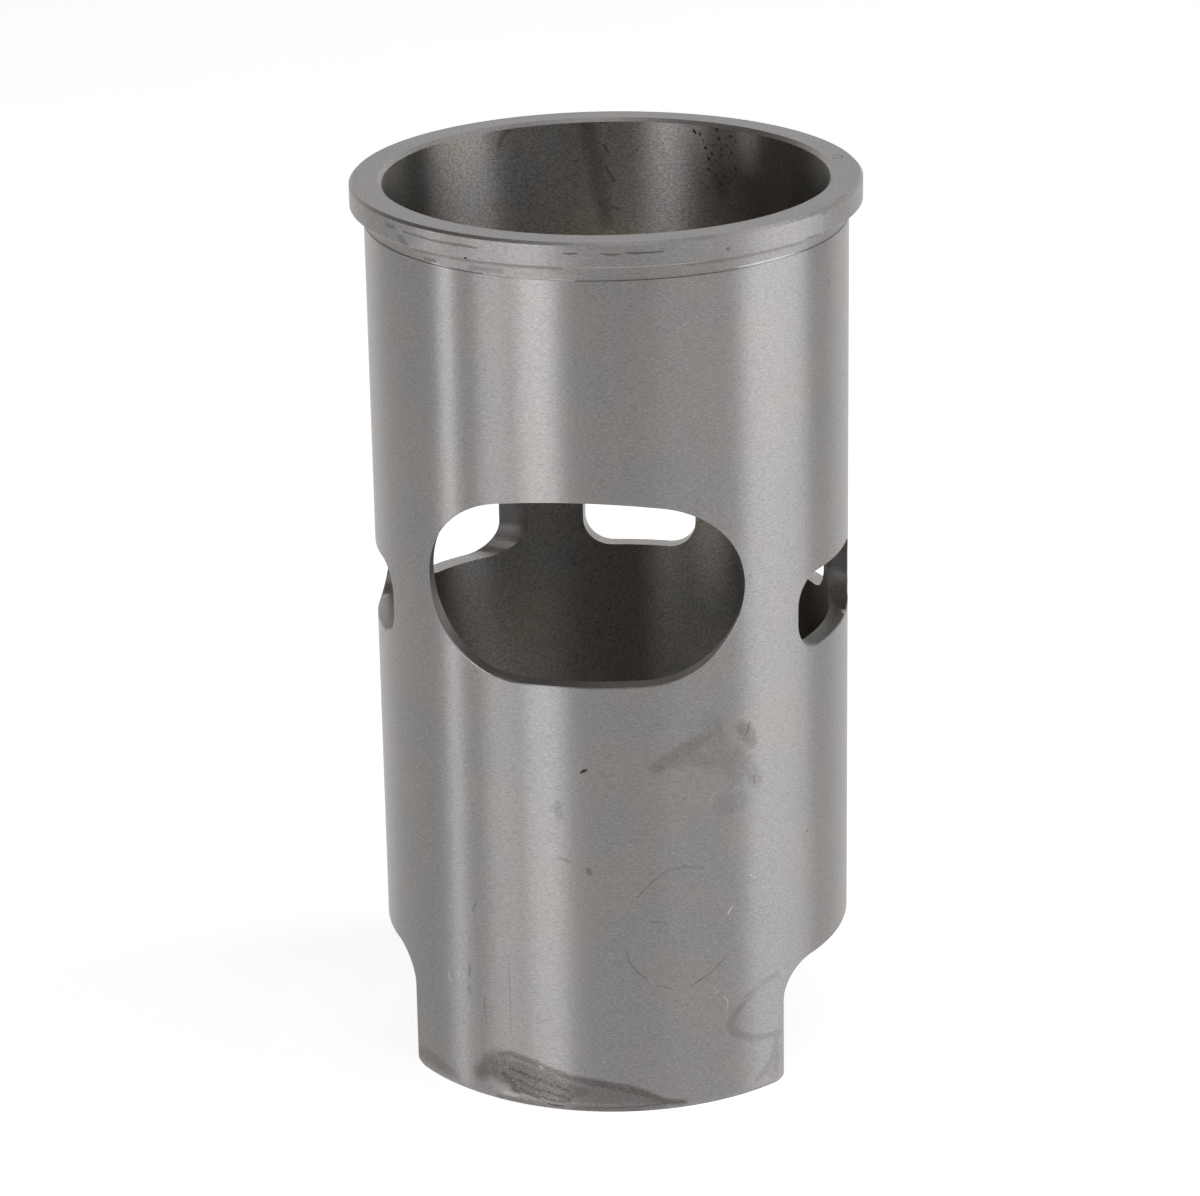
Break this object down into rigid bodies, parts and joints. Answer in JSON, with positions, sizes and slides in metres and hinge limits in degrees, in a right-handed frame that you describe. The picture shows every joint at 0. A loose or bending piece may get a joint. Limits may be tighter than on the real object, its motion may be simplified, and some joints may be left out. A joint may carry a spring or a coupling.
{
  "type": "cylinder liner",
  "caption": "Flanged cast-iron cylinder liner of a two-stroke engine, with a wide exhaust port, aimed transfer ports and a skirt cut back to two tongues.",
  "frame": {"origin": "on the bore axis at the lower end of the skirt, on which the liner stands", "axes": "+Z along the bore towards the flange and the cylinder head, -Y through the middle of the exhaust port"},
  "size_m": [0.0744, 0.0744, 0.1336],
  "materials": {
    "cast_iron": "fine turned and honed, bare metal"
  },
  "bodies": {
    "root": {"cylinder_liner": "cast_iron"}
  },
  "joints": []
}
